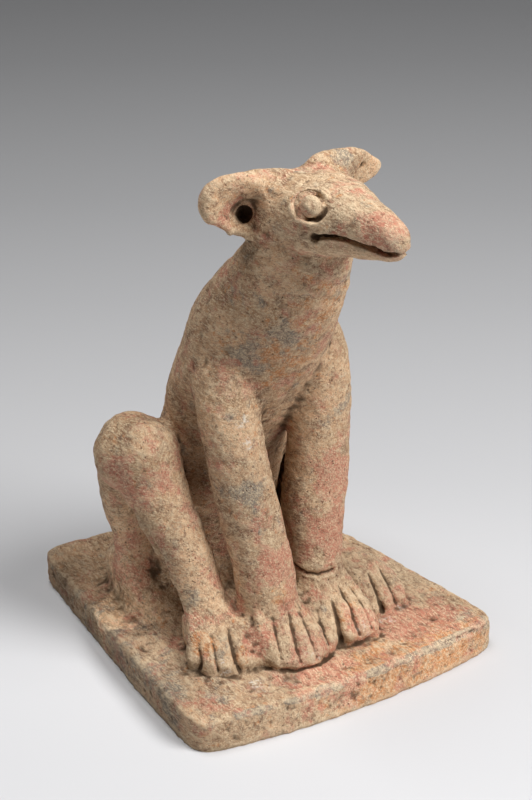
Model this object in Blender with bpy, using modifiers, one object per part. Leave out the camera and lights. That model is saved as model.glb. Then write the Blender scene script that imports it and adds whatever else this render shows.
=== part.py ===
# Seated dog of fired earthenware, modelled together with the square slab it sits on.
# Metres, +Z up. The dog looks towards -Y, so its right side is at -X.
# The origin is the middle of the slab's flat underside.

import math

import bmesh
import bpy
from mathutils import Matrix, Vector

# The slab, a little narrower at the back than at the front
SLAB_FRONT_WIDTH = 0.138
SLAB_BACK_WIDTH = 0.104
SLAB_BACK_SHIFT = -0.0044
SLAB_DEPTH = 0.1443
SLAB_THICKNESS = 0.0133
SLAB_CORNER_RADIUS = 0.0095
SLAB_WORN_EDGE = 0.0030
SLAB_FRONT_BOW = 0.0045
SLAB_FOOT_SPREAD = 0.0030
SLAB_SIDE_BOW = 0.0012
SLAB_BOW_STEPS = 9

# The dog, from the slab's top to the rim of its higher ear
DOG_HEIGHT = 0.187

# The pose and the carving are written in shares of the dog's height, 187 to the whole,
# with x and y from the slab's middle and z from the slab's top.
SHARE = DOG_HEIGHT / 187.0

# Thickness of the smallest lump that the clay keeps, and how far edges are rubbed round
CLAY_GRAIN = 0.00125
RUBBED_PASSES = 12
FACET_SHARE = 0.037

# Tool marks
TOE_CUT_WIDTH = 0.0021
TOE_CUT_LENGTH = 0.0170
TOE_CUT_HEIGHT = 0.0110
TOE_CUT_LIFT = 0.0016
# How far the outer cuts fan out, and how the paw's back slopes to its toes, as angles
TOE_FAN = 0.30
TOE_SLOPE = 0.34
MOUTH_GAP = 0.0022
MOUTH_CUT_DEPTH = 0.0036
EYE_RING_RADIUS = 0.0041
EYE_RING_WIDTH = 0.0021
EYE_PELLET_RADIUS = 0.0033
EAR_HOLE_RADIUS = 0.0024
EAR_BOWL_DEPTH = 0.0030

# Earthenware, pale orange-buff, matt
CLAY_COLOUR = (0.47, 0.32, 0.20, 1.0)
CLAY_ROUGHNESS = 0.88
CLAY_METALLIC = 0.0

# How finely the rolls of clay are rounded, and the thin cutters
OVAL_SEGMENTS = 28
RINGS_PER_SPAN = 6
CAP_RINGS = 5
CUTTER_SEGMENTS = 8
CUTTER_RINGS_PER_SPAN = 3

# Each limb is a row of oval sections: x, y, z, half size along the side, half size across it
TORSO = [
    (-3, 31, -2, 27, 25),
    (-3, 30, 27, 26, 24),
    (-3, 18.2, 59, 25.5, 21.7),
    (-2, 6.5, 87, 26, 24),
    (-2, -9.8, 115, 26.5, 25),
    (-1, -26, 137, 21.5, 22),
    (0, -36.5, 157, 17, 19.5),
]
HEAD = [
    (0, -29, 166, 13.5, 12.5),
    (0, -40, 169.6, 17.3, 14.2),
    (0, -56, 171.7, 15.5, 12.8),
    (0, -74, 173.2, 10.5, 10),
    (0, -88.5, 173.5, 6.2, 7.3),
]
RIGHT_FORELEG = [
    (-12, -13, 121, 10, 14),
    (-19, -14, 100, 11.5, 13.5),
    (-20, -20, 77, 11.5, 12),
    (-17.5, -28, 49, 11.5, 11.5),
    (-15, -34, 25, 11.5, 11.5),
    (-14, -38, 1, 13, 13),
]
LEFT_FORELEG = [
    (12, -15, 124, 10, 13),
    (19.5, -17, 101, 11.5, 12.5),
    (18.5, -19.5, 73, 12, 12),
    (14.5, -23, 42, 12, 12),
    (12, -27, 21, 11, 11),
    (12, -30, 1, 13, 13),
]
RIGHT_KNEE = [(-36, 19, 64, 12, 13), (-47, 9, 68, 14.5, 15)]
RIGHT_SHIN = [
    (-45, 3, 70, 13.5, 15),
    (-43, -4, 54, 12, 12.5),
    (-37.8, -16, 29, 10, 10.2),
    (-35.5, -26, 9, 10.2, 9),
]
RIGHT_THIGH = [
    (-45.5, 13, 70, 13, 12.5),
    (-44.2, 19, 47, 10.2, 11.5),
    (-40.5, 19, 25, 9.5, 10),
    (-37.5, 17, -1, 11, 12),
]
RIGHT_THIGH_FOOT = [(-42, 13, 10, 8, 7), (-45.5, 6, 4, 6, 5.5), (-48.5, -3, 0.6, 3.6, 2.8)]
RIGHT_WEB = [(-35, 9, 64, 7, 13), (-31.8, 11, 37, 7, 13), (-31, 7, 0, 8, 15)]
RIGHT_WEB_FOOT = [(-35, 8, 7, 8, 10), (-40, -4, 2.5, 8, 6), (-43, -14, 0.2, 6, 3)]
LEFT_KNEE = [(27, 24, 62, 11, 12), (34, 18, 66, 11.5, 12)]
LEFT_SHIN = [
    (34, 17, 64, 10.5, 13),
    (33, 13, 47, 10, 10.5),
    (30, 9, 27, 9.5, 9),
    (33, -5, 7.5, 9, 6.5),
]
LEFT_FLANK = [(11, 12, 70, 11, 13), (11, 17, 45, 11, 14), (11, 19, 20, 11, 15), (11, 21, 0, 11, 15)]
LEFT_THIGH = [
    (34, 24, 65, 10.5, 12),
    (35, 32, 45, 9.5, 10),
    (32.5, 34, 23, 9, 10),
    (32, 32, -1, 12, 15),
]
LEFT_WEB = [(26, 20, 58, 7, 14), (26, 22, 30, 7, 15), (25, 18, 0, 8, 17)]
RIGHT_HAUNCH = [(-12, 33, 32, 33, 16), (-28, 27, 35, 31, 12), (-39, 20, 37, 27, 8.5)]
LEFT_HAUNCH = [(8, 36, 32, 33, 15), (21, 33, 34, 31, 12), (32, 28, 35, 29, 9)]
RUMP = [(-33, 28, 6, 15, 17), (-3, 36, 16, 22, 26), (27, 34, 6, 15, 17)]
TAIL = [(-3, 52, 9, 5.5, 5.5), (-1, 60, 4.8, 5, 4.8), (7, 65, 3, 4.2, 4), (17, 64, 2.2, 3.4, 3)]
CROWN = [(-20, -31, 180, 6.3, 5.5), (-10, -32, 179, 6.2, 6.5), (0, -33, 177, 6, 7.5), (10, -32, 177.5, 6, 7.5)]
RIGHT_EAR = [
    (-12, -33, 172.5, 13, 5.4),
    (-20, -31.5, 173.2, 12.8, 5.2),
    (-27, -29.8, 174.8, 11.3, 4.7),
    (-33.5, -27.5, 175, 8.4, 4),
]
RIGHT_EAR_BACK = [(-10, -25, 168, 13, 8), (-21, -23.5, 170.5, 9, 6)]
LEFT_EAR = [
    (8, -31.5, 177.3, 8.6, 5.4),
    (16, -31, 177.5, 8.7, 5.2),
    (24, -30, 177.7, 8.2, 4.6),
    (31, -28.8, 177.2, 6, 4),
    (35.3, -28, 176.6, 3.6, 3.4),
]

# Each paw: where the ankle meets it, where the toes end, half width, half height
PAWS = {
    "right_fore": ((-14, -38, 11), (-14, -57, 3.2), 12.6, 7.6),
    "left_fore": ((12, -31, 11), (12, -54, 3.2), 12.6, 7.6),
    "right_hind": ((-36, -28, 8), (-37, -48, 3.0), 12.2, 7.0),
    "left_hind": ((36.5, -11, 5.6), (37, -40, 3.0), 11.4, 6.2),
}
TOE_CUTS_PER_PAW = 3

# The face, in the same shares
RIGHT_EYE = (-13.0, -59.4, 179.5)
RIGHT_EYE_FACING = (-0.93, -0.24, 0.28)
LEFT_EYE = (14.6, -57.6, 174.8)
LEFT_EYE_FACING = (0.97, -0.20, 0.10)
EYES = ((RIGHT_EYE, RIGHT_EYE_FACING), (LEFT_EYE, LEFT_EYE_FACING))
RIGHT_MOUTH = [
    (-14.2, -62.6, 169.0),
    (-12.6, -67.5, 171.6),
    (-10.3, -75.0, 172.4),
    (-7.6, -84.0, 171.6),
    (-5.0, -91.6, 171.0),
]
NOSE_MOUTH = (0, -95.2, 170.9)
RIGHT_EAR_BOWL = (-26.5, -33.0, 174.8)
LEFT_EAR_BOWL = (27.0, -34.0, 176.0)
EAR_BOWL_SIZE = (7.5, 9.0)
RIGHT_EAR_HOLE = (-19.8, -33.4, 170.6)
LEFT_EAR_HOLE = (26.5, -33.5, 177.4)
EAR_HOLE_AIM = (0.45, 0.88, -0.12)


def clear_scene():
    for item in list(bpy.data.objects):
        bpy.data.objects.remove(item, do_unlink=True)


def new_collection(name):
    collection = bpy.data.collections.new(name)
    bpy.context.scene.collection.children.link(collection)
    return collection


def new_object(name, shape, collection):
    """Turns a finished bmesh into an object in the given collection."""
    mesh = bpy.data.meshes.new(name)
    bmesh.ops.recalc_face_normals(shape, faces=shape.faces)
    shape.to_mesh(mesh)
    shape.free()
    made = bpy.data.objects.new(name, mesh)
    collection.objects.link(made)
    return made


def placed(point):
    """A point of the pose, lifted onto the slab, in metres."""
    x, y, z = point
    return Vector((x * SHARE, y * SHARE, z * SHARE + SLAB_THICKNESS))


def smooth_row(rows, per_span):
    """Rows of numbers joined by a curve that passes through each of them."""
    if len(rows) == 2:
        first, last = rows
        steps = [k / per_span for k in range(per_span + 1)]
        return [[a + (b - a) * t for a, b in zip(first, last)] for t in steps]
    ends = [[2 * a - b for a, b in zip(rows[0], rows[1])], [2 * a - b for a, b in zip(rows[-1], rows[-2])]]
    padded = [ends[0]] + [list(row) for row in rows] + [ends[1]]
    curve = []
    for k in range(1, len(padded) - 2):
        before, start, stop, after = padded[k - 1 : k + 3]
        for step in range(per_span):
            t = step / per_span
            curve.append(
                [
                    0.5 * (2 * b + (c - a) * t + (2 * a - 5 * b + 4 * c - d) * t * t + (3 * b - a - 3 * c + d) * t ** 3)
                    for a, b, c, d in zip(before, start, stop, after)
                ]
            )
    curve.append(list(rows[-1]))
    return curve


def add_loft(shape, stations, side=(1, 0, 0), fullness=1.0, segments=OVAL_SEGMENTS, per_span=RINGS_PER_SPAN):
    """A closed skin through oval sections, with domed ends, added to the shape."""
    rows = smooth_row(stations, per_span)
    centres = [placed(row[:3]) for row in rows]
    last = len(rows) - 1
    sections = []
    for k, row in enumerate(rows):
        ahead = (centres[min(k + 1, last)] - centres[max(k - 1, 0)]).normalized()
        across = Vector(side)
        across = (across - ahead * across.dot(ahead)).normalized()
        sections.append((centres[k], across, ahead.cross(across), row[3] * SHARE, row[4] * SHARE, ahead))

    def ring(section, shrink, shift):
        centre, across, up, wide, tall, ahead = section
        found = []
        for k in range(segments):
            angle = 2 * math.pi * k / segments
            c = math.copysign(abs(math.cos(angle)) ** fullness, math.cos(angle))
            s = math.copysign(abs(math.sin(angle)) ** fullness, math.sin(angle))
            spot = centre + ahead * shift + across * (c * wide * shrink) + up * (s * tall * shrink)
            found.append(shape.verts.new(spot))
        return found

    rings = []
    dome = [k * math.pi / 2 / CAP_RINGS for k in range(1, CAP_RINGS)]
    reach = min(sections[0][3:5])
    for angle in reversed(dome):
        rings.append(ring(sections[0], math.cos(angle), -reach * math.sin(angle)))
    for section in sections:
        rings.append(ring(section, 1.0, 0.0))
    end_reach = min(sections[-1][3:5])
    for angle in dome:
        rings.append(ring(sections[-1], math.cos(angle), end_reach * math.sin(angle)))
    poles = [
        shape.verts.new(sections[0][0] - sections[0][5] * reach),
        shape.verts.new(sections[-1][0] + sections[-1][5] * end_reach),
    ]
    for first, second in zip(rings, rings[1:]):
        for k in range(segments):
            j = (k + 1) % segments
            shape.faces.new((first[k], first[j], second[j], second[k]))
    for pole, edge in ((poles[0], rings[0]), (poles[1], rings[-1])):
        for k in range(segments):
            shape.faces.new((pole, edge[k], edge[(k + 1) % segments]))


def add_paw(shape, ankle, toes, half_width, half_height):
    """A paw lies flat from the ankle forward and thins towards the toes."""
    middle = [(a + b) / 2 for a, b in zip(ankle, toes)]
    add_loft(
        shape,
        [
            (*ankle, half_width * 0.95, half_height * 1.25),
            (*middle, half_width, half_height),
            (*toes, half_width * 0.97, half_height * 0.6),
        ],
    )


def add_slab(shape):
    """The slab: a box tapered in plan, its corners and edges worn round, its sides bowed."""
    made = bmesh.ops.create_cube(shape, size=1.0)
    corners = made["verts"]
    # The box reaches a little lower than the underside, which is cut flat at the end
    foot = SLAB_WORN_EDGE * 0.5
    for corner in corners:
        front = corner.co.y < 0
        width = SLAB_FRONT_WIDTH if front else SLAB_BACK_WIDTH
        shift = 0.0 if front else SLAB_BACK_SHIFT
        corner.co.x = corner.co.x * width + shift
        corner.co.y = corner.co.y * SLAB_DEPTH
        corner.co.z = SLAB_THICKNESS if corner.co.z > 0 else -foot
    uprights = [e for v in corners for e in v.link_edges if abs(e.verts[0].co.z - e.verts[1].co.z) > foot]
    bmesh.ops.bevel(
        shape, geom=list(set(uprights)), offset=SLAB_CORNER_RADIUS, segments=6, affect="EDGES", profile=0.5
    )
    long_edges = [e for e in shape.edges if e.calc_length() > SLAB_DEPTH * 0.5]
    bmesh.ops.subdivide_edges(shape, edges=long_edges, cuts=SLAB_BOW_STEPS)
    half_width = SLAB_FRONT_WIDTH / 2
    half_depth = SLAB_DEPTH / 2
    for vert in shape.verts:
        across = 1 - (vert.co.x / half_width) ** 2
        along = 1 - (vert.co.y / half_depth) ** 2
        spread = SLAB_FOOT_SPREAD if vert.co.z < 0 else 0.0
        frontness = max(0.0, -vert.co.y / half_depth) ** 4
        vert.co.x += math.copysign(SLAB_SIDE_BOW * along, vert.co.x)
        vert.co.y -= (SLAB_FRONT_BOW + spread) * across * frontness
    shape.normal_update()
    rims = [
        e
        for e in shape.edges
        if abs(e.verts[0].co.z - e.verts[1].co.z) < 1e-6
        and len(e.link_faces) == 2
        and abs(e.link_faces[0].normal.z - e.link_faces[1].normal.z) > 0.5
    ]
    bmesh.ops.bevel(shape, geom=rims, offset=SLAB_WORN_EDGE, segments=3, affect="EDGES", profile=0.5)


def add_dog(shape):
    """All the clay of the dog as overlapping rolls and lumps, not yet pressed together."""
    add_loft(shape, TORSO)
    add_loft(shape, RUMP, side=(0, 1, 0))
    add_loft(shape, HEAD, fullness=0.88)
    for limb in (RIGHT_FORELEG, LEFT_FORELEG, RIGHT_SHIN, LEFT_SHIN, RIGHT_THIGH, LEFT_THIGH):
        add_loft(shape, limb)
    for web in (RIGHT_WEB, LEFT_WEB, RIGHT_THIGH_FOOT, RIGHT_WEB_FOOT, LEFT_FLANK):
        add_loft(shape, web)
    for lump in (RIGHT_KNEE, LEFT_KNEE, RIGHT_HAUNCH, LEFT_HAUNCH):
        add_loft(shape, lump, side=(0, 0, 1))
    for ear in (CROWN, RIGHT_EAR, RIGHT_EAR_BACK, LEFT_EAR):
        add_loft(shape, ear, side=(0, 0, 1))
    add_loft(shape, TAIL, side=(0, 0, 1))
    for ankle, toes, half_width, half_height in PAWS.values():
        add_paw(shape, ankle, toes, half_width, half_height)


def add_lens(shape, centre, turn, half_sizes):
    """A ball stretched to three half sizes, turned, then set at the centre."""
    stretch = Matrix.Diagonal((*half_sizes, 1.0))
    matrix = Matrix.Translation(centre) @ turn.to_4x4() @ stretch
    bmesh.ops.create_uvsphere(shape, u_segments=10, v_segments=7, radius=1.0, matrix=matrix)


def toe_cuts():
    """Cuts that fan across each paw and part it into toes."""
    shape = bmesh.new()
    half_sizes = (TOE_CUT_WIDTH / 2, TOE_CUT_LENGTH / 2, TOE_CUT_HEIGHT / 2)
    for ankle, toes, half_width, _ in PAWS.values():
        heading = placed(toes) - placed(ankle)
        heading.z = 0.0
        heading.normalize()
        across = Vector((-heading.y, heading.x, 0.0))
        for k in range(TOE_CUTS_PER_PAW):
            share = (k + 1) / (TOE_CUTS_PER_PAW + 1) * 2 - 1
            spot = placed(toes) + across * (share * half_width * SHARE)
            # The cut stops short of the slab's top
            spot.z = SLAB_THICKNESS + TOE_CUT_HEIGHT / 2 + TOE_CUT_LIFT
            fan = math.atan2(heading.x, -heading.y) + share * TOE_FAN
            turn = Matrix.Rotation(fan, 3, "Z") @ Matrix.Rotation(-TOE_SLOPE, 3, "X")
            add_lens(shape, spot, turn, half_sizes)
    return shape


def mouth_cut():
    """One slit that runs from the right corner of the mouth round the nose to the left corner."""
    shape = bmesh.new()
    tall = MOUTH_GAP / 2 / SHARE
    deep = MOUTH_CUT_DEPTH / SHARE
    right = [(*point, tall, deep) for point in RIGHT_MOUTH]
    left = [(-x, y, z, tall, deep) for x, y, z, tall, deep in reversed(right)]
    add_loft(
        shape,
        right + [(*NOSE_MOUTH, tall * 0.7, deep * 0.6)] + left,
        side=(0, 0, 1),
        segments=CUTTER_SEGMENTS,
        per_span=CUTTER_RINGS_PER_SPAN,
    )
    return shape


def facing(direction):
    """The turn that points a shape's +Z along the direction."""
    return Vector(direction).to_track_quat("Z", "Y").to_matrix()


def mirrored(point):
    return (-point[0], point[1], point[2])


def eye_rings():
    """A ring-shaped groove round each eye."""
    shape = bmesh.new()
    around = 20
    tube = 8
    for eye, aim in EYES:
        turn = facing(aim)
        centre = placed(eye)
        rings = []
        for k in range(around):
            angle = 2 * math.pi * k / around
            out = Vector((math.cos(angle), math.sin(angle), 0.0))
            row = []
            for j in range(tube):
                bend = 2 * math.pi * j / tube
                radius = EYE_RING_RADIUS + EYE_RING_WIDTH / 2 * math.cos(bend)
                lift = EYE_RING_WIDTH / 2 * math.sin(bend)
                row.append(shape.verts.new(centre + turn @ (out * radius + Vector((0, 0, lift)))))
            rings.append(row)
        for k in range(around):
            for j in range(tube):
                first, second = rings[k], rings[(k + 1) % around]
                i = (j + 1) % tube
                shape.faces.new((first[j], second[j], second[i], first[i]))
    return shape


def eye_pellets():
    """The pellet of clay pressed into each eye ring."""
    shape = bmesh.new()
    for eye, aim in EYES:
        half_sizes = (EYE_PELLET_RADIUS, EYE_PELLET_RADIUS, EYE_PELLET_RADIUS * 0.5)
        add_lens(shape, placed(eye), facing(aim), half_sizes)
    return shape


def ear_bowls():
    """The shallow bowl pressed into the front of each ear, leaving a thick rim."""
    shape = bmesh.new()
    wide, tall = EAR_BOWL_SIZE
    for bowl in (RIGHT_EAR_BOWL, LEFT_EAR_BOWL):
        half_sizes = (wide * SHARE, EAR_BOWL_DEPTH, tall * SHARE)
        sign = math.copysign(1.0, bowl[0])
        add_lens(shape, placed(bowl), Matrix.Rotation(sign * 0.30, 3, "Z"), half_sizes)
    return shape


def ear_holes():
    """The round hole poked where each ear meets the head."""
    shape = bmesh.new()
    for hole, aim in ((RIGHT_EAR_HOLE, EAR_HOLE_AIM), (LEFT_EAR_HOLE, mirrored(EAR_HOLE_AIM))):
        half_sizes = (EAR_HOLE_RADIUS, EAR_HOLE_RADIUS, EAR_HOLE_RADIUS * 2.2)
        add_lens(shape, placed(hole), facing(aim), half_sizes)
    return shape


def underside_cut():
    """Everything below the slab's underside, so that it rests on a true plane."""
    shape = bmesh.new()
    reach = 2 * (SLAB_FRONT_WIDTH + SLAB_DEPTH)
    matrix = Matrix.Translation((0, 0, -reach / 2)) @ Matrix.Diagonal((reach, reach, reach, 1.0))
    bmesh.ops.create_cube(shape, size=1.0, matrix=matrix)
    return shape


def clay_material():
    material = bpy.data.materials.new("fired earthenware")
    material.use_nodes = True
    shader = material.node_tree.nodes["Principled BSDF"]
    shader.inputs["Base Color"].default_value = CLAY_COLOUR
    shader.inputs["Roughness"].default_value = CLAY_ROUGHNESS
    shader.inputs["Metallic"].default_value = CLAY_METALLIC
    return material


def add_boolean(target, name, cutter, operation):
    step = target.modifiers.new(name, "BOOLEAN")
    step.operation = operation
    step.solver = "EXACT"
    step.object = cutter
    cutter.hide_render = True
    cutter.display_type = "WIRE"


def build():
    clear_scene()
    parts = new_collection("seated_dog")
    cutters = new_collection("cutters")

    shape = bmesh.new()
    add_slab(shape)
    add_dog(shape)
    dog = new_object("seated_dog", shape, parts)
    dog.data.materials.append(clay_material())

    fuse = dog.modifiers.new("pressed together", "REMESH")
    fuse.mode = "VOXEL"
    fuse.voxel_size = CLAY_GRAIN
    rub = dog.modifiers.new("rubbed smooth", "SMOOTH")
    rub.factor = 0.5
    rub.iterations = RUBBED_PASSES
    facets = dog.modifiers.new("facets", "DECIMATE")
    facets.ratio = FACET_SHARE

    cuts = (
        ("toes", toe_cuts, "DIFFERENCE"),
        ("mouth", mouth_cut, "DIFFERENCE"),
        ("ear bowls", ear_bowls, "DIFFERENCE"),
        ("ear holes", ear_holes, "DIFFERENCE"),
        ("eye rings", eye_rings, "DIFFERENCE"),
        ("eye pellets", eye_pellets, "UNION"),
        ("underside", underside_cut, "DIFFERENCE"),
    )
    for name, maker, operation in cuts:
        cutter = new_object(name, maker(), cutters)
        add_boolean(dog, name, cutter, operation)


build()
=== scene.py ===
# Seated dog of fired earthenware on its slab: the finished skin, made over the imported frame.
# Metres, +Z up. The dog looks towards -Y, so its right side is at -X.
# The clay's sizes are in millimetres, with z counted from the slab's top, unless a comment says metres.

import bmesh
import bpy
import numpy as np
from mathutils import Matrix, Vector


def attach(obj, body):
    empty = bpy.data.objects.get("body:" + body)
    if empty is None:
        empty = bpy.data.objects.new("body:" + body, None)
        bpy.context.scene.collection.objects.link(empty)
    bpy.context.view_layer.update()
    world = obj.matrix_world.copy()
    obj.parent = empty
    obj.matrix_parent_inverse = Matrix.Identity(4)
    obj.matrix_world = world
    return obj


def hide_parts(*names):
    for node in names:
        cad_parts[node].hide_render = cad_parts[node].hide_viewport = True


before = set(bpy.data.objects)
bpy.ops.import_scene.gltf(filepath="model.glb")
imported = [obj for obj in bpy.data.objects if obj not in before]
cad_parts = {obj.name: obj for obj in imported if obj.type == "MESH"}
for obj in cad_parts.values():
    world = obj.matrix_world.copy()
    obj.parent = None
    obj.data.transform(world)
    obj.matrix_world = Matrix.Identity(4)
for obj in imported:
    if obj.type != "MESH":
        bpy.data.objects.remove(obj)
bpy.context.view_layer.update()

millimetre = 0.001

cameraSetup = {
    "place": (-0.3506, -0.5534, 0.3993),
    "target": (0.00521, -0.00337, 0.09522),
    "lens": 85.0,
    "longSide": 36.0,  # the sensor along the picture's long side
    "clip": (0.02, 30.0),
}


def makeCamera():
    lens = bpy.data.cameras.new("studioCamera")
    lens.sensor_fit = "VERTICAL"
    lens.sensor_height = cameraSetup["longSide"]
    lens.sensor_width = cameraSetup["longSide"]
    lens.lens = cameraSetup["lens"]
    lens.clip_start, lens.clip_end = cameraSetup["clip"]
    camera = bpy.data.objects.new("studioCamera", lens)
    bpy.context.scene.collection.objects.link(camera)
    camera.location = cameraSetup["place"]
    aim = Vector(cameraSetup["target"]) - Vector(cameraSetup["place"])
    camera.rotation_euler = aim.to_track_quat("-Z", "Y").to_euler()
    bpy.context.scene.camera = camera


makeCamera()
print("camera placed")

slabShape = {
    "frontWidth": 138.0,
    "backWidth": 104.0,
    "backShift": -4.4,
    "depth": 144.3,
    "thickness": 13.3,
    "squareness": 20.0,  # the higher, the tighter the corners
    "wornEdge": 1.1,
    "frontBow": 4.5,
    "footSpread": 3.0,
    "sideBow": 1.2,
}


def lifted(points):
    # millimetres above the slab's top, as metres above the floor
    return (np.asarray(points, float) + [0.0, 0.0, slabShape["thickness"]]) * millimetre


def throughPoints(rows, perSpan):
    # Catmull-Rom: half of 2b + (c-a)t + (2a-5b+4c-d)t^2 + (3b-a-3c+d)t^3, from b to c
    rows = np.array(rows, float)
    if len(rows) == 2:
        t = np.linspace(0.0, 1.0, perSpan + 1)[:, None]
        return rows[0] * (1 - t) + rows[1] * t
    padded = np.vstack([2 * rows[0] - rows[1], rows, 2 * rows[-1] - rows[-2]])
    a, b, c, d = (padded[k : len(padded) - 3 + k, None] for k in range(4))
    t = (np.arange(perSpan) / perSpan)[None, :, None]
    square, cube = 2 * a - 5 * b + 4 * c - d, 3 * b - a - 3 * c + d
    spans = 0.5 * (2 * b + (c - a) * t + square * t**2 + cube * t**3)
    return np.vstack([spans.reshape(-1, rows.shape[1]), rows[-1:]])


def gridFaces(rings, around):
    # four-sided faces between each ring and the next, closed round the ring
    ring, spoke = np.meshgrid(np.arange(rings - 1), np.arange(around), indexing="ij")
    low, high = ring * around, (ring + 1) * around
    beside = (spoke + 1) % around
    return np.stack([low + spoke, low + beside, high + beside, high + spoke], -1).reshape(-1, 4).tolist()


def poleFaces(rings, around):
    # a fan of triangles closes the first ring, and another the last
    spoke = np.arange(around)
    beside = (spoke + 1) % around
    pole, high = np.full(around, rings * around), (rings - 1) * around
    start = np.stack([pole, beside, spoke], -1)
    end = np.stack([pole + 1, spoke + high, beside + high], -1)
    return start.tolist() + end.tolist()


def clayRoll(rows, side=(1, 0, 0), fullness=1.0, around=40, perSpan=10, domeRings=7):
    # an oval carried along a path: centre(t) + side(t) a(t) cos u + up(t) b(t) sin u, domed at both ends
    path = throughPoints(rows, perSpan)
    centres = lifted(path[:, :3])
    wide, tall = path[:, 3] * millimetre, path[:, 4] * millimetre
    ahead = np.gradient(centres, axis=0)
    ahead /= np.linalg.norm(ahead, axis=1)[:, None]
    across = np.array(side, float) - ahead * (ahead @ np.array(side, float))[:, None]
    across /= np.linalg.norm(across, axis=1)[:, None]
    up = np.cross(ahead, across)
    dome = np.arange(1, domeRings) * np.pi / 2 / domeRings
    last = len(path) - 1
    startReach, endReach = min(wide[0], tall[0]), min(wide[-1], tall[-1])
    pick = np.concatenate([np.zeros(len(dome), int), np.arange(last + 1), np.full(len(dome), last)])
    shrink = np.concatenate([np.cos(dome[::-1]), np.ones(last + 1), np.cos(dome)])
    shift = np.concatenate([-startReach * np.sin(dome[::-1]), np.zeros(last + 1), endReach * np.sin(dome)])
    u = 2 * np.pi * np.arange(around) / around
    c = np.sign(np.cos(u)) * np.abs(np.cos(u)) ** fullness
    s = np.sign(np.sin(u)) * np.abs(np.sin(u)) ** fullness
    spine = centres[pick] + ahead[pick] * shift[:, None]
    rings = spine[:, None] + across[pick][:, None] * np.outer(wide[pick] * shrink, c)[..., None]
    rings = rings + up[pick][:, None] * np.outer(tall[pick] * shrink, s)[..., None]
    poles = np.array([centres[0] - ahead[0] * startReach, centres[-1] + ahead[-1] * endReach])
    vertices = np.vstack([rings.reshape(-1, 3), poles])
    return vertices, gridFaces(len(pick), around) + poleFaces(len(pick), around)


def aimed(direction):
    # three unit columns, the third along the direction
    third = np.array(direction, float) / np.linalg.norm(direction)
    helper = (0.0, 0.0, 1.0) if abs(third[2]) < 0.9 else (0.0, 1.0, 0.0)
    first = np.cross(helper, third)
    first /= np.linalg.norm(first)
    return np.stack([first, np.cross(third, first), third], 1)


def clayBall(centre, halfSizes, direction=(0, 0, 1), around=32, rings=19):
    # a ball of two angles, (sin v cos u, sin v sin u, -cos v), stretched and turned along the direction
    v = np.pi * np.arange(1, rings + 1) / (rings + 1)
    u = 2 * np.pi * np.arange(around) / around
    x, y = np.outer(np.sin(v), np.cos(u)), np.outer(np.sin(v), np.sin(u))
    ball = np.stack([x, y, -np.outer(np.cos(v), np.ones(around))], -1)
    ball = np.vstack([ball.reshape(-1, 3), [[0, 0, -1], [0, 0, 1]]])
    vertices = lifted(centre) + (ball * np.array(halfSizes) * millimetre) @ aimed(direction).T
    return vertices, gridFaces(rings, around) + poleFaces(rings, around)


def clayRing(centre, radius, thickness, direction, stretch=1.0, deep=1.0, around=40, tube=12):
    # a ring of two angles: radius + thickness cos v outwards, times stretch one way,
    # and deep times thickness sin v along the direction
    i, j = np.meshgrid(np.arange(around), np.arange(tube), indexing="ij")
    u, v = 2 * np.pi * i / around, 2 * np.pi * j / tube
    reach = radius + thickness * np.cos(v)
    ring = np.stack([reach * np.cos(u) * stretch, reach * np.sin(u), deep * thickness * np.sin(v)], -1)
    vertices = lifted(centre) + (ring.reshape(-1, 3) * millimetre) @ aimed(direction).T
    low, high = i * tube, (i + 1) % around * tube
    beside = (j + 1) % tube
    return vertices, np.stack([low + j, high + j, high + beside, low + beside], -1).reshape(-1, 4).tolist()


def slabSkin(around=240):
    # outline(u): a square pressed round at its corners, tapered and bowed,
    # carried down a profile of inset and height
    turn = np.arange(around) / around * 4
    edge, along = turn.astype(int), (turn % 1) * 2 - 1
    a = np.select([edge == 0, edge == 1, edge == 2, edge == 3], [along, 1.0, -along, -1.0])
    b = np.select([edge == 0, edge == 1, edge == 2, edge == 3], [-1.0, along, 1.0, -along])
    n = slabShape["squareness"]
    reach = (np.abs(a) ** n + np.abs(b) ** n) ** (-1 / n)
    top, worn = slabShape["thickness"], slabShape["wornEdge"]
    bend = np.linspace(0, np.pi / 2, 7)
    flat = np.array([5.0, 4.0, 2.5, 1.0]) * top  # rings on the flat faces, inset in thicknesses
    topInset, footInset = worn * (1 - np.sin(bend)), worn / 2 * (1 - np.cos(bend))
    inset = np.concatenate([flat, topInset, [0, 0], footInset, flat[::-1]])
    topHeights = np.concatenate([np.full(4, top), top - worn * (1 - np.cos(bend)), [top * 0.6, top * 0.3]])
    height = np.concatenate([topHeights, worn / 2 * (1 - np.sin(bend)), np.zeros(4)])[::-1]
    factor = (1 - inset[::-1] / (slabShape["frontWidth"] / 2))[:, None]
    a, b = (a * reach)[None] * factor, (b * reach)[None] * factor
    spread = (1 - height / top)[:, None] * slabShape["footSpread"]
    half = (slabShape["frontWidth"] * (1 - b) + slabShape["backWidth"] * (1 + b)) / 4
    x = a * half + slabShape["backShift"] * (1 + b) / 2 + slabShape["sideBow"] * a * (1 - b**2)
    y = b * slabShape["depth"] / 2 - (slabShape["frontBow"] + spread) * (1 - a**2) * np.maximum(0, -b) ** 4
    rings = np.stack([x, y, np.broadcast_to(height[:, None], x.shape)], -1) * millimetre
    vertices = np.vstack([rings.reshape(-1, 3), rings[0].mean(0), rings[-1].mean(0)])
    return vertices, gridFaces(len(height), around) + poleFaces(len(height), around)


def joined(shapes):
    # several vertex and face lists as one
    vertices, faces, start = [], [], 0
    for points, corners in shapes:
        vertices.append(points)
        faces += [[index + start for index in face] for face in corners]
        start += len(points)
    return np.vstack(vertices), faces


def meshFrom(name, shape):
    mesh = bpy.data.meshes.new(name)
    mesh.from_pydata(shape[0].tolist(), [], shape[1])
    mesh.update()
    return mesh


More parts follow.
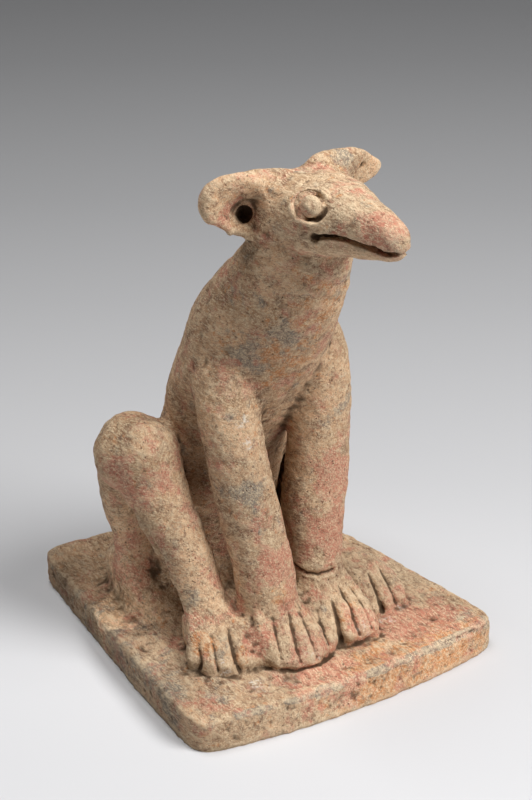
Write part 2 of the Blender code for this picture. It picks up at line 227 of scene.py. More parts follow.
def objectFrom(name, mesh):
    made = bpy.data.objects.new(name, mesh)
    bpy.context.scene.collection.objects.link(made)
    return made


pawFullness = 0.68  # below 1 an oval bulges towards a rectangle

# x, y, z, half size along the side, half size across it
dogRolls = {
    "torso": {
        "rows": [
            (-3, 31, -2, 27, 25), (-3, 30, 27, 26, 24), (-3, 18.2, 59, 25.5, 21.7),
            (-2, 6.5, 87, 26, 24), (-2, -9.8, 115, 26.5, 25), (-1, -26, 137, 21.5, 22),
            (0, -36.5, 157, 17, 19.5),
        ],
        "around": 72,
    },
    "head": {
        "rows": [
            (0, -29, 166, 13.5, 12.5), (0, -40, 169.6, 17.3, 14.2), (0, -56, 171.7, 15.5, 12.8),
            (0, -74, 173.2, 10.5, 10), (0, -88.5, 173.5, 6.2, 7.3),
        ],
        "fullness": 0.88,
        "around": 64,
    },
    "rightForeleg": {
        "rows": [
            (-12, -13, 121, 10, 14), (-19, -14, 100, 11.5, 13.5), (-20, -20, 77, 11.5, 12),
            (-17.5, -28, 49, 11.5, 11.5), (-15, -34, 25, 11.5, 11.5), (-14, -38, 1, 13, 13),
        ]
    },
    "leftForeleg": {
        "rows": [
            (12, -15, 124, 10, 13), (19.5, -17, 101, 11.5, 12.5), (18.5, -19.5, 73, 12, 12),
            (14.5, -23, 42, 12, 12), (12, -27, 21, 11, 11), (12, -30, 1, 13, 13),
        ]
    },
    "leftFlank": {
        "rows": [
            (11.5, 12, 70, 12, 13), (11.5, 15, 57, 12, 13.5), (10, 17, 43, 10.8, 14),
            (8.5, 19, 28, 10, 15), (8.5, 21, 0, 10, 15),
        ]
    },
    "crown": {
        "rows": [
            (-20, -31, 180, 6.3, 5.5), (-10, -32, 179, 6.2, 6.5), (0, -33, 177, 6, 7.5),
            (10, -32, 177.5, 6, 7.5),
        ],
        "side": (0, 0, 1),
    },
    "rightShin": {
        "rows": [
            (-45, 3, 70, 13.5, 15), (-43, -4, 54, 12, 12.5), (-37.8, -16, 29, 10, 10.2),
            (-35.3, -26, 9, 9.8, 8.8),
        ]
    },
    "leftShin": {
        "rows": [(34, 17, 64, 10.5, 13), (33, 13, 47, 10, 10.5), (30, 9, 27, 9.5, 9), (33, -5, 7.5, 9, 6.5)]
    },
    "thighFoot": {"rows": [(-42, 13, 10, 8, 7), (-45.5, 6, 4, 6, 5.5), (-48.5, -3, 0.6, 3.6, 2.8)]},
    "webFoot": {"rows": [(-37, 8, 4.5, 11, 9), (-40.5, -4, 1.5, 10, 5.5), (-43, -14, -0.5, 7.5, 2.6)]},
    "thighBase": {"rows": [(-38, 29, 3, 9, 7), (-42, 17, 3, 8.4, 6.5), (-45.5, 8, 2, 6.4, 4.6)]},
    "rightThigh": {
        "rows": [
            (-45.5, 13, 70, 13, 12.5), (-44.2, 19, 47, 10.2, 11.5), (-40.5, 19, 25, 9.5, 10),
            (-37.5, 17, -1, 11, 12),
        ]
    },
    "leftThigh": {
        "rows": [(34, 24, 65, 10.5, 12), (35, 32, 45, 9.5, 10), (32.5, 34, 23, 9, 10), (32, 32, -1, 12, 15)]
    },
    "rightWeb": {"rows": [(-35, 9, 64, 7, 13), (-31.8, 11, 37, 7, 13), (-31, 7, 0, 8, 15)]},
    "leftWeb": {"rows": [(26, 20, 58, 7, 14), (26, 22, 30, 7, 15), (25, 18, 0, 8, 17)]},
    "rightKnee": {"rows": [(-36, 19, 64, 12, 13), (-47, 9, 68, 14.5, 15)], "side": (0, 0, 1)},
    "leftKnee": {"rows": [(27, 24, 62, 11, 12), (34, 18, 66, 11.5, 12)], "side": (0, 0, 1)},
    "rightHaunch": {
        "rows": [(-12, 33, 32, 33, 16), (-28, 27, 35, 31, 12), (-39, 20, 37, 27, 8.5)],
        "side": (0, 0, 1),
    },
    "leftHaunch": {
        "rows": [(8, 36, 32, 33, 15), (21, 33, 34, 31, 12), (32, 28, 35, 29, 9)],
        "side": (0, 0, 1),
    },
    "rump": {"rows": [(-33, 28, 6, 15, 17), (-3, 36, 16, 22, 26), (27, 34, 6, 15, 17)], "side": (0, 1, 0)},
    "tail": {
        "rows": [(-3, 52, 9, 5.5, 5.5), (-1, 60, 4.8, 5, 4.8), (7, 65, 3, 4.2, 4), (17, 64, 2.2, 3.4, 3)],
        "side": (0, 0, 1),
    },
    "rightEar": {
        "rows": [
            (-12, -33, 172.5, 13, 5.4), (-20, -31.5, 173.2, 12.8, 5.2), (-27, -29.8, 174.8, 11.3, 4.7),
            (-33.5, -27.5, 175, 8.4, 4),
        ],
        "side": (0, 0, 1),
    },
    "leftEar": {
        "rows": [
            (8, -31.5, 177.9, 9.5, 5.4), (16, -31, 178, 9.4, 5.2), (24, -30, 177.9, 8.5, 4.6),
            (31, -28.8, 177.2, 6, 4), (35.3, -28, 176.6, 3.6, 3.4),
        ],
        "side": (0, 0, 1),
    },
    "rightEarBack": {"rows": [(-10, -25, 168, 13, 8), (-21, -23.5, 170.5, 9, 6)], "side": (0, 0, 1)},
    "rightForePaw": {
        "rows": [
            (-14, -38, 11, 12, 9.2), (-14, -47, 6.8, 12.4, 7.6), (-15, -54, 4.2, 12.2, 6.4),
            (-15.3, -58.6, 2.6, 11.2, 4.4),
        ],
        "fullness": pawFullness,
    },
    "leftForePaw": {
        "rows": [
            (12, -31, 11, 12, 9.2), (12.5, -42.5, 7, 12.6, 7.4), (12.5, -50, 4.2, 12.2, 5.9),
            (11, -54.6, 2.6, 11.4, 4.2),
        ],
        "fullness": pawFullness,
    },
    "rightHindPaw": {
        "rows": [
            (-36, -28, 8, 11.4, 8.6), (-37, -37, 5.6, 12.2, 7.0), (-38.5, -44, 3.8, 11.6, 5.5),
            (-39.5, -48, 2.6, 10.4, 3.8),
        ],
        "fullness": pawFullness,
    },
    "leftHindPaw": {
        "rows": [
            (36, -10, 5.2, 10, 6.8), (37, -26, 5.0, 11.4, 6.8), (37, -35, 3.8, 11, 4.9),
            (35.2, -41.5, 2.6, 9.8, 3.6),
        ],
        "fullness": pawFullness,
    },
    "rightPawJoin": {
        "rows": [
            (-25.5, -28, 5, 6, 10), (-26.5, -38, 5, 5.5, 8.5), (-28, -46, 3.4, 4.6, 6),
            (-29, -51, 1.5, 3.5, 3),
        ]
    },
    "middlePawJoin": {
        "rows": [(-1, -33, 5, 5.5, 10), (-0.6, -43, 5, 5, 8), (-1.4, -51, 3, 4, 5), (-2.2, -56, 1.2, 3, 2.6)]
    },
}

# each toe runs from the back of the paw, over it and down to the slab
toeRolls = {
    "rightHind": [
        [(-43.5, -29, 14.0, 2.6, 2.2), (-46.8, -34, 8.2, 3.0, 3.0), (-49.5, -39.5, 3.2, 2.9, 3.2)],
        [(-40.0, -33, 12.6, 2.5, 2.2), (-44.6, -41, 6.9, 2.8, 3.0), (-46.8, -46.0, 3.0, 2.6, 3.0)],
        [(-37.0, -38, 11.4, 2.2, 2.2), (-40.4, -45.5, 6.5, 2.5, 2.8), (-42.2, -50.2, 3.0, 2.3, 2.9)],
        [(-30.0, -38, 10.0, 2.6, 2.2), (-32.6, -46.0, 6.0, 3.0, 2.9), (-33.4, -50.5, 3.0, 3.0, 3.0)],
    ],
    "rightFore": [
        [(-22.9, -43, 15.8, 2.8, 2.3), (-24.9, -48.5, 8.8, 3.2, 3.2), (-25.8, -52.5, 3.2, 3.2, 3.4)],
        [(-15.7, -46, 15.4, 2.4, 2.3), (-18.2, -54.0, 8.4, 2.7, 3.1), (-19.6, -59.5, 3.2, 2.8, 3.3)],
        [(-10.7, -46, 14.2, 2.3, 2.3), (-12.0, -55.5, 7.9, 2.6, 3.1), (-12.8, -60.8, 3.2, 2.8, 3.3)],
        [(-3.6, -44, 11.0, 2.3, 2.3), (-5.2, -53.5, 7.0, 2.6, 3.0), (-5.9, -58.6, 3.2, 2.7, 3.2)],
    ],
    "leftFore": [
        [(5.0, -42, 12.4, 2.2, 2.2), (2.9, -50.0, 7.0, 2.5, 2.9), (0.9, -55.2, 3.2, 2.6, 3.2)],
        [(10.5, -42, 13.6, 2.3, 2.2), (9.6, -51.2, 7.8, 2.6, 3.0), (8.0, -56.8, 3.4, 2.7, 3.2)],
        [(17.8, -41, 12.8, 2.4, 2.2), (17.6, -50.0, 7.4, 2.7, 3.0), (16.2, -56.4, 3.6, 2.7, 3.2)],
        [(23.8, -37, 9.0, 2.2, 2.1), (24.2, -45.0, 5.2, 2.3, 2.7), (22.0, -52.4, 2.8, 2.3, 2.8)],
    ],
    "leftHind": [
        [(32.4, -26, 9.6, 2.6, 2.0), (30.2, -37.0, 5.4, 2.8, 2.6), (28.2, -44.6, 2.6, 2.6, 2.6)],
        [(39.4, -26, 9.8, 2.6, 2.0), (37.4, -36.5, 5.4, 2.8, 2.6), (35.2, -44.0, 2.6, 2.6, 2.6)],
        [(45.2, -24, 7.8, 2.2, 2.0), (44.2, -34.5, 4.6, 2.4, 2.4), (42.4, -42.5, 2.4, 2.3, 2.4)],
    ],
}

# knife cuts between the toes, from the paw's back to the slab:
# path, half width, depth, and the share of the path where the depth is full
toeCuts = [
    ([(-45.9, -35.5, 11.2), (-47.9, -39.4, 7.2), (-49.8, -43.6, 2.2)], 0.75, 1.2, 0.6),
    ([(-41.0, -37.0, 12.4), (-43.0, -43.0, 7.8), (-45.2, -48.8, 2.2)], 0.7, 1.5, 0.7),
    ([(-34.8, -38.6, 13.2), (-36.2, -45.0, 8.6), (-38.2, -52.6, 2.2)], 0.95, 2.4, 0.4),
    ([(-19.8, -45.6, 18.3), (-21.6, -51.8, 11.4), (-22.8, -58.0, 2.4)], 0.75, 1.1, 0.6),
    ([(-13.0, -46.0, 18.4), (-14.8, -53.8, 11.2), (-16.4, -60.6, 2.6)], 0.8, 1.6, 0.6),
    ([(-7.6, -46.0, 15.8), (-8.4, -53.9, 9.9), (-9.4, -60.4, 2.4)], 0.9, 1.7, 0.5),
    ([(2.0, -43.0, 12.2), (0.4, -49.9, 7.3), (-1.4, -56.0, 2.4)], 0.75, 1.4, 0.6),
    ([(8.8, -43.0, 15.4), (7.0, -50.0, 9.6), (4.6, -57.0, 2.6)], 0.85, 1.9, 0.4),
    ([(14.0, -40.0, 17.0), (14.2, -49.6, 10.4), (12.8, -57.6, 2.6)], 0.7, 1.9, 0.3),
    ([(20.2, -37.5, 14.0), (21.0, -46.8, 8.8), (19.8, -55.6, 2.4)], 0.7, 1.6, 0.3),
    ([(36.4, -27.6, 11.2), (34.0, -38.4, 6.8), (31.2, -47.2, 2.2)], 0.8, 1.9, 0.4),
    ([(42.6, -25.6, 10.6), (41.2, -36.4, 6.8), (38.8, -45.6, 2.2)], 0.75, 1.6, 0.4),
    ([(-28, -55.5, 0.8), (-20, -62.5, 0.8), (-10, -64, 0.8), (-2, -61, 0.8)], 0.8, 1.0, 0.3),
    ([(3, -59, 0.8), (9, -60, 0.8), (18, -58.5, 0.8), (24, -54.5, 0.8)], 0.7, 0.5, 0.3),
]

# the crease behind the right shin, pressed the same way, and the hole at its foot
shinCrease = [
    (-54.2, -1.5, 54), (-53.2, -1.5, 50.3), (-51.4, -5.5, 45.7),
    (-48.2, -11, 34.2), (-45.5, -16, 22.5), (-44, -19.5, 11.8),
]
toeCuts += [(shinCrease, 1.0, 3.2, 0.15), ([(-46.4, -7.5, 29), (-45.6, -9, 24)], 1.6, 2.0, 0.0)]
knifeHeld = (-0.466, -0.70, 0.541)  # the direction that the knife points along

face = {
    "eye": (-13.2, -59.4, 179.6),
    "eyeAim": (-0.93, -0.24, 0.28),
    "leftEye": (13.4, -57.2, 173.8),
    "leftEyeAim": (0.97, -0.2, 0.1),
    "eyeStretch": 1.2,
    "ringRadius": 4.3,
    "ringThickness": 1.1,
    "ringDepth": 2.0,  # in thicknesses
    "lidRadius": 5.9,
    "lidThickness": 1.0,
    "lidShift": (0.3, 0.5, -0.5),
    "lidAim": (-0.93, -0.60, 0.70),  # tipped, so that the rim stands out below and behind the eye alone
    "pelletHalf": (4.6, 3.9, 2.2),
    "pelletLumps": [((-15.2, -60.6, 180.3), (1.9, 1.5, 1.0)), ((-14.8, -58.2, 178.4), (1.8, 1.3, 0.9))],
    "mouth": [
        (-15.5, -62.4, 169.0), (-13.2, -67.5, 170.6), (-10.6, -75.0, 171.4),
        (-8.0, -84.0, 170.9), (-5.4, -91.6, 170.3),
    ],
    "mouthFront": (0, -95.6, 170.2),
    "mouthHalfGap": 1.05,
    "mouthDepth": 7.0,
    "frontShares": (0.5, 0.2),  # of the gap and of the depth, under the nose
    "mouthCorner": (2.4, 2.0, 5.6),
    "cornerAim": (0.9, 0.35, 0.0),
    "rightHole": (-19.6, -27.6, 168.4),
    "leftHole": (28.1, -31.6, 179.2),
    "rightHoleHalf": (2.9, 3.4, 5.0),
    "leftHoleHalf": (1.9, 1.7, 3.4),
    "holeAim": (0.76, 0.63, -0.1),
}

# the scoops in front of the ears: middle and half sizes along X and Z, depth, fall-off, and side
earScoops = [
    {"middle": (-26.0, 174.3), "half": (10.6, 10.0), "deep": 3.0, "power": 1.3, "sign": -1},
    {"middle": (-21.4, 169.4), "half": (12.0, 10.0), "deep": 7.0, "power": 2.0, "sign": -1},
    {"middle": (27.0, 177.2), "half": (9.5, 7.0), "deep": 2.4, "power": 1.3, "sign": 1},
]
earCarving = {
    "facing": (-0.1, 0.4),  # how far the skin has to look forwards
    "behind": -0.045,  # metres, so that the muzzle keeps clear
    "wall": (0.0172, 0.0190),  # metres from the middle, where the side of the head stays
    "push": (0.25, 0.97),  # the part of the depth that goes sideways, and backwards
}

# where clay was smeared down on to the slab or between two paws: middle, radius
smearedPlaces = [
    ((-50, 22, 2), 14), ((-51, 8, 2), 14), ((-49, -6, 1), 11), ((-27, -40, 10), 5), ((-1, -44, 9), 5),
]


def mirrored(point):
    return (-point[0], *point[1:])


def allRolls():
    shapes = [slabSkin()]
    for roll in dogRolls.values():
        shapes.append(clayRoll(**roll))
    shapes += [clayRoll(rows, around=24, perSpan=7) for paw in toeRolls.values() for rows in paw]
    return joined(shapes)


def mouthCutter():
    # a slit from the right corner of the mouth round the nose to the left corner
    gap, deep = face["mouthHalfGap"], face["mouthDepth"]
    gapShare, deepShare = face["frontShares"]
    right = [(*point, gap, deep) for point in face["mouth"]]
    left = [mirrored(row) for row in reversed(right)]
    front = [(*face["mouthFront"], gap * gapShare, deep * deepShare)]
    return clayRoll(right + front + left, side=(0, 0, 1), around=16, perSpan=8)


def bothEyes():
    return ((face["eye"], face["eyeAim"]), (face["leftEye"], face["leftEyeAim"]))


# the narrow gap between the belly and the left foreleg
bellyGap = {
    "rows": [
        (24.4, 10.5, 59, 0.35, 5), (23.8, 10.5, 51.7, 0.6, 6), (22.2, 10.5, 43, 0.85, 6),
        (20, 10.5, 29.6, 1.25, 6), (19.6, 10.5, 24, 1.25, 6),
    ],
    "side": (0.839, -0.545, 0),
    "around": 20,
}


def allCutters():
    shapes = [mouthCutter(), clayRoll(**bellyGap)]
    radius, thickness, deep = face["ringRadius"], face["ringThickness"], face["ringDepth"]
    for eye, aim in bothEyes():
        shapes.append(clayRing(eye, radius, thickness, aim, face["eyeStretch"], deep))
    for turned in (tuple, mirrored):
        shapes.append(clayBall(turned(face["mouth"][0]), face["mouthCorner"], turned(face["cornerAim"])))
    for hole, turned in (("rightHole", tuple), ("leftHole", mirrored)):
        shapes.append(clayBall(face[hole], face[hole + "Half"], turned(face["holeAim"])))
    return joined(shapes)


def eyeRim():
    # only the right eye shows a raised rim
    rim = np.array(face["eye"]) + face["lidShift"]
    return clayRing(rim, face["lidRadius"], face["lidThickness"], face["lidAim"], face["eyeStretch"])


def eyeClay():
    # the pellet of each eye
    shapes = [clayBall(eye, face["pelletHalf"], aim) for eye, aim in bothEyes()]
    shapes += [clayBall(middle, half, face["eyeAim"]) for middle, half in face["pelletLumps"]]
    return joined(shapes)


skinFineness = {
    "pressing": 0.8,  # size of the cells in which the rolls are pressed together
    "carving": 0.6,  # and after the tool cuts
    "cutter": 0.3,
    "rubbing": 30,  # passes
    "smearing": 90,
    "cutSoftening": 2,
    "mostTriangles": 196000,
}


def applied(source):
    # the object's mesh with its modifiers worked in
    depsgraph = bpy.context.evaluated_depsgraph_get()
    mesh = bpy.data.meshes.new_from_object(source.evaluated_get(depsgraph))
    source.modifiers.clear()
    source.data = mesh
    return mesh


def pressedTogether(source, voxel):
    step = source.modifiers.new("pressed together", "REMESH")
    step.mode = "VOXEL"
    step.voxel_size = voxel * millimetre
    step.use_smooth_shade = True
    return applied(source)


def meshPoints(mesh):
    points = np.empty(len(mesh.vertices) * 3)
    mesh.vertices.foreach_get("co", points)
    return points.reshape(-1, 3)


def meshNormals(mesh):
    normals = np.empty(len(mesh.vertices) * 3)
    mesh.vertex_normals.foreach_get("vector", normals)
    return normals.reshape(-1, 3)


def meshEdges(mesh):
    edges = np.empty(len(mesh.edges) * 2, np.int32)
    mesh.edges.foreach_get("vertices", edges)
    return edges.reshape(-1, 2)


def movePoints(mesh, points):
    mesh.vertices.foreach_set("co", np.ascontiguousarray(points, np.float32).ravel())
    mesh.update()


def relaxed(values, edges, passes, share=1.0):
    # each pass takes a point its share of half the way to the mean of its neighbours
    count = len(values)
    degree = np.maximum(np.bincount(edges.ravel(), minlength=count), 1)
    step = np.broadcast_to(share, (count,)) * 0.5
    first, second = edges[:, 0], edges[:, 1]
    values = values.copy()
    for _ in range(passes):
        for column in values.T:
            total = np.bincount(first, column[second], count) + np.bincount(second, column[first], count)
            column += (total / degree - column) * step
    return values


def easedStep(values, low, high):
    # 3t^2 - 2t^3 between low and high
    t = np.clip((values - low) / (high - low), 0, 1)
    return t * t * (3 - 2 * t)


def easedFall(values, low, high):
    # the same, falling from 1 at low to 0 at high
    return easedStep(-values, -high, -low)


def lattice(cells, seed):
    # one number from 0 to 1 for each whole-numbered cell, from its three numbers and the seed
    x, y, z = np.moveaxis(cells, -1, 0)
    h = x * 73856093 ^ y * 19349663 ^ z * 83492791 ^ np.int64(seed) * 2654435761
    h = (h & 0xFFFFFFFF).astype(np.uint32)
    h = (h ^ (h >> 15)) * np.uint32(0x2C1B3C6D)
    h = (h ^ (h >> 12)) * np.uint32(0x297A2D39)
    return (h ^ (h >> 15)) / np.float64(0xFFFFFFFF)


def lumps(places, size, seed):
    # smooth noise from -1 to 1: lattice numbers blended by 6t^5 - 15t^4 + 10t^3, lumps of the given size
    turned = places @ aimed((0.3 + 0.1 * seed, 0.5, 0.8)) / size
    whole = np.floor(turned).astype(np.int64)
    t = turned - whole
    t = t**3 * (t * (t * 6 - 15) + 10)
    total = 0.0
    for corner in np.ndindex(2, 2, 2):
        weight = np.prod(np.where(corner, t, 1 - t), axis=1)
        total = total + weight * lattice(whole + corner, seed)
    return total * 2 - 1


def pits(places, size, seed):
    # distance to the nearest of the points strewn one to a cell, in cells
    turned = places / size
    whole = np.floor(turned).astype(np.int64)
    nearest = np.full(len(places), 9.0)
    for corner in np.ndindex(3, 3, 3):
        cell = whole + corner - 1
        strewn = cell + np.stack([lattice(cell, seed + k) for k in range(3)], -1)
        nearest = np.minimum(nearest, ((strewn - turned) ** 2).sum(1))
    return np.sqrt(nearest)


def strokeDistance(places, path):
    # distance of each place to a bent line, and the share of the line's length where it is nearest
    nearest, share = np.full(len(places), 1e9), np.zeros(len(places))
    path = np.array(path, float)
    for k, (start, stop) in enumerate(zip(path[:-1], path[1:])):
        span = stop - start
        square = max(span @ span, 1e-18)  # a span of no length is a point
        t = np.clip((places - start) @ span / square, 0, 1)
        away = np.linalg.norm(places - start - t[:, None] * span, axis=1)
        closer = away < nearest
        nearest[closer], share[closer] = away[closer], (k + t[closer]) / (len(path) - 1)
    return nearest, share


def onSkin(points, path):
    # the path in steps of a third of a span, each moved to the nearest point of the skin
    fine = throughPoints(path, 3)
    return np.array([points[((points - place) ** 2).sum(1).argmin()] for place in fine])


# bands in metres, and by how much less the skin is rubbed there
rubbedLess = {
    "toes": 0.82,
    "toesAhead": (0.026, 0.036),
    "toesBelow": (0.026, 0.036),
    "rim": 0.9,
    "rimBelow": (0.0145, 0.0155),
    "rimBeyond": (0.044, 0.05),
}

print("rolling the clay")
dogForm = objectFrom("dogForm", meshFrom("dogForm", allRolls()))
mesh = pressedTogether(dogForm, skinFineness["pressing"])
points = meshPoints(mesh)
# the toes and the slab's rim are rubbed less than the body
nearToes = easedStep(-points[:, 1], *rubbedLess["toesAhead"])
nearToes *= easedFall(points[:, 2], *rubbedLess["toesBelow"])
nearRim = easedFall(points[:, 2], *rubbedLess["rimBelow"])
nearRim *= easedStep(np.abs(points[:, :2]).max(1), *rubbedLess["rimBeyond"])
spared = np.maximum(rubbedLess["toes"] * nearToes, rubbedLess["rim"] * nearRim)
edges = meshEdges(mesh)
points = relaxed(points, edges, skinFineness["rubbing"], 1 - spared)
# where clay was smeared, it is rubbed much more
smeared = np.zeros(len(points))
for middle, radius in smearedPlaces:
    away = np.linalg.norm(points - lifted(middle), axis=1)
    smeared = np.maximum(smeared, easedFall(away, 0.0, radius * millimetre))
points = relaxed(points, edges, skinFineness["smearing"], np.minimum(2 * smeared, 1))
movePoints(mesh, points)
normals = meshNormals(mesh)
for scoop in earScoops:
    # a dish: deep (1 - q)^power, where q is the square of the distance from its middle in half sizes
    away = (points[:, [0, 2]] - lifted((scoop["middle"][0], 0, scoop["middle"][1]))[[0, 2]]) / millimetre
    dish = np.clip(1 - ((away / scoop["half"]) ** 2).sum(1), 0, 1) ** scoop["power"] * scoop["deep"]
    dish *= easedStep(-normals[:, 1], *earCarving["facing"]) * (points[:, 1] > earCarving["behind"])
    dish *= easedStep(np.abs(points[:, 0]), *earCarving["wall"])
    sideways, backwards = earCarving["push"]
    points += dish[:, None] * millimetre * np.array([-sideways * scoop["sign"], backwards, 0.0])
movePoints(mesh, points)
print("pressed together:", len(points), "points")

knives = objectFrom("knives", meshFrom("knives", allCutters()))
pressedTogether(knives, skinFineness["cutter"])
rim = objectFrom("eyeRim", meshFrom("eyeRim", eyeRim()))
for name, operation, tool in (("eye rim", "UNION", rim), ("tool cuts", "DIFFERENCE", knives)):
    cut = dogForm.modifiers.new(name, "BOOLEAN")
    cut.operation = operation
    cut.solver = "MANIFOLD"
    cut.object = tool
mesh = applied(dogForm)
print("cut:", len(mesh.vertices), "points")

shape = bmesh.new()
shape.from_mesh(mesh)
shape.from_mesh(meshFrom("eyeClay", eyeClay()))
shape.to_mesh(mesh)
shape.free()
mesh = pressedTogether(dogForm, skinFineness["carving"])
edges = meshEdges(mesh)
points = relaxed(meshPoints(mesh), edges, skinFineness["cutSoftening"])
movePoints(mesh, points)
print("carved:", len(points), "points")

handMarks = {
    "seed": 5,
    "swell": (0.55, 17.0),  # how high and how wide the marks of the hand are
    "dent": (0.34, 6.5),
    "tooth": (0.17, 2.4),
    "striation": (0.16, 12.0, 1.9),  # height, length and width of the wiping marks
    "wipedAlong": (0.69, -0.45, -0.57),
    "pitDepth": 0.45,
    "pitCell": 3.4,
    "pitSize": 0.2,
    "pitClusters": 14.0,
    "rimChip": (0.8, 9.0),
    "crumbledToes": [(0.32, 3.6), (0.2, 1.9)],
    "roughSides": [(0.3, 4.2), (0.24, 1.9)],
    "beyondDog": (44, 50),  # the slab's rim and sides lie further out than this
    "toesAhead": (34, 44),
    "toesBelow": (26, 34),
}

# strokes of a tool or a finger: path, half width, height (a groove is below 0)
toolStrokes = [
    (
        [(-1, -29, 23), (2.3, -31.9, 22.3), (4.6, -35.3, 21.3), (8.6, -37.6, 20.9), (14, -38.6, 21.6)],
        0.8,
        -1.1,
    ),
    ([(3, -33, 24.5), (8.6, -36.4, 24.2), (15, -37, 24.8)], 2.2, 0.9),
    ([(-11.6, -49.1, 151), (-4.5, -52.7, 147.4), (8, -50, 144.5)], 2.4, -0.5),
    ([(-9.8, -48.4, 141.5), (-2.2, -50.8, 140.7), (12.4, -43.9, 137.1)], 2.2, -0.45),
    ([(-14.9, -37.3, 57.5), (-16.8, -38.8, 51.5)], 0.7, 0.25),
    ([(-13.2, -37.0, 54.5), (-15.0, -38.6, 48.5)], 0.7, -0.2),
    ([(-60, -18, 0), (-57, -34, 0), (-50, -52, 0)], 3.0, -0.5),
    ([(-53, -12, 0), (-50, -28, 0), (-44, -56, 0)], 2.4, 0.45),
    ([(-40, -64, 0), (-10, -70, 0), (24, -68, 0), (46, -58, 0)], 3.5, -0.6),
    ([(-36, -33, 162.5), (-32, -33, 161)], 1.3, -0.5),
    ([(-27, -33, 160.5), (-24, -33, 158.5)], 1.1, -0.9),
]


def handWork(points, normals):
    # height along the normal: lumps + wiping marks - pits + strokes - toe cuts - chips + rough places
    places = points / millimetre
    seed = handMarks["seed"]

    def rough(layers, first):
        # lumps of several heights and widths, added up
        return sum(tall * lumps(places, wide, seed + first + k) for k, (tall, wide) in enumerate(layers))

    height = rough([handMarks["swell"], handMarks["dent"], handMarks["tooth"]], 0)
    tall, length, width = handMarks["striation"]
    stretched = places @ aimed(handMarks["wipedAlong"]) * [1 / width, 1 / width, 1 / length]
    height += tall * lumps(stretched, 1.0, seed + 5)
    strewn = pits(places, handMarks["pitCell"], seed + 9)
    clustered = easedStep(lumps(places, handMarks["pitClusters"], seed + 11), -0.2, 0.4)
    height -= handMarks["pitDepth"] * clustered * easedFall(strewn, 0.0, handMarks["pitSize"])
    for path, half, tall in toolStrokes:
        # tall e^-(d/half)^2, and a lip beside a groove
        away, _ = strokeDistance(points, onSkin(points, lifted(path)))
        away = away / millimetre / half
        height += tall * np.exp(-(away**2)) + max(0, -tall) * 0.3 * np.exp(-((away - 1.9) ** 2))
    # the knife is pressed along one direction, so distance along it counts a sixth
    held = np.array(knifeHeld)
    squeeze = np.eye(3) - np.outer(held, held) * 5 / 6
    for path, half, deep, full in toeCuts:
        away, share = strokeDistance(points @ squeeze, lifted(path) @ squeeze)
        height -= deep * easedStep(share, -0.01, full) * np.exp(-((away / millimetre / half) ** 2))
    # the slab's rim is chipped where coarse lumps run high
    top, level = slabShape["thickness"], places[:, 2]
    steepness = np.linalg.norm(normals[:, :2], axis=1)
    beyondDog = easedStep(np.abs(places[:, :2]).max(1), *handMarks["beyondDog"])
    rim = easedStep(level, top - 3.5, top - 1) * easedFall(level, top - 0.4, top + 1.2)
    rim *= easedStep(steepness, 0.25, 0.7) * beyondDog
    deep, wide = handMarks["rimChip"]
    height -= deep * rim * easedStep(lumps(places, wide, seed + 13), 0.0, 0.8)
    # the toes were pinched and crumbled
    toes = easedStep(-places[:, 1], *handMarks["toesAhead"]) * easedFall(level, *handMarks["toesBelow"])
    height += toes * easedStep(level, top, top + 2) * rough(handMarks["crumbledToes"], 17)
    # the slab's sides were cut and left rough
    sides = easedFall(level, top - 1.5, top + 0.5) * easedStep(steepness, 0.5, 0.9) * beyondDog
    height += sides * rough(handMarks["roughSides"], 15)
    return height * millimetre


normals = meshNormals(mesh)
points = points + normals * handWork(points, normals)[:, None]
# the underside is a true plane at height 0
facesDown = (points[:, 2] < 0.0009) & (normals[:, 2] < -0.6)
points[:, 2] = np.where(facesDown, 0.0, np.maximum(points[:, 2], 0.0))
movePoints(mesh, points)
print("hand marks laid on")

thin = dogForm.modifiers.new("thinned", "DECIMATE")
mesh.calc_loop_triangles()
thin.ratio = min(1.0, skinFineness["mostTriangles"] / len(mesh.loop_triangles))
mesh = applied(dogForm)
mesh.calc_loop_triangles()
print("thinned:", len(mesh.loop_triangles), "triangles")

edges = meshEdges(mesh)
points, normals = meshPoints(mesh), meshNormals(mesh)


def keep(name, values):
    # one number for each point of the skin, for the material
    layer = mesh.attributes.new(name, "FLOAT", "POINT")
    layer.data.foreach_set("value", np.ascontiguousarray(values, np.float32))


def hollowness(passes, full):
    # how far a point lies below its surroundings' mean, 1 where that is the full depth in millimetres
    below = ((relaxed(points, edges, passes) - points) * normals).sum(1) / millimetre
    return np.clip(below / full, -1, 1)


# how hollow the skin lies, for the painted shade in hollows and creases and the painted highlight on ridges
keep("hollow", hollowness(6, 0.25))
keep("crease", hollowness(60, 1.6))
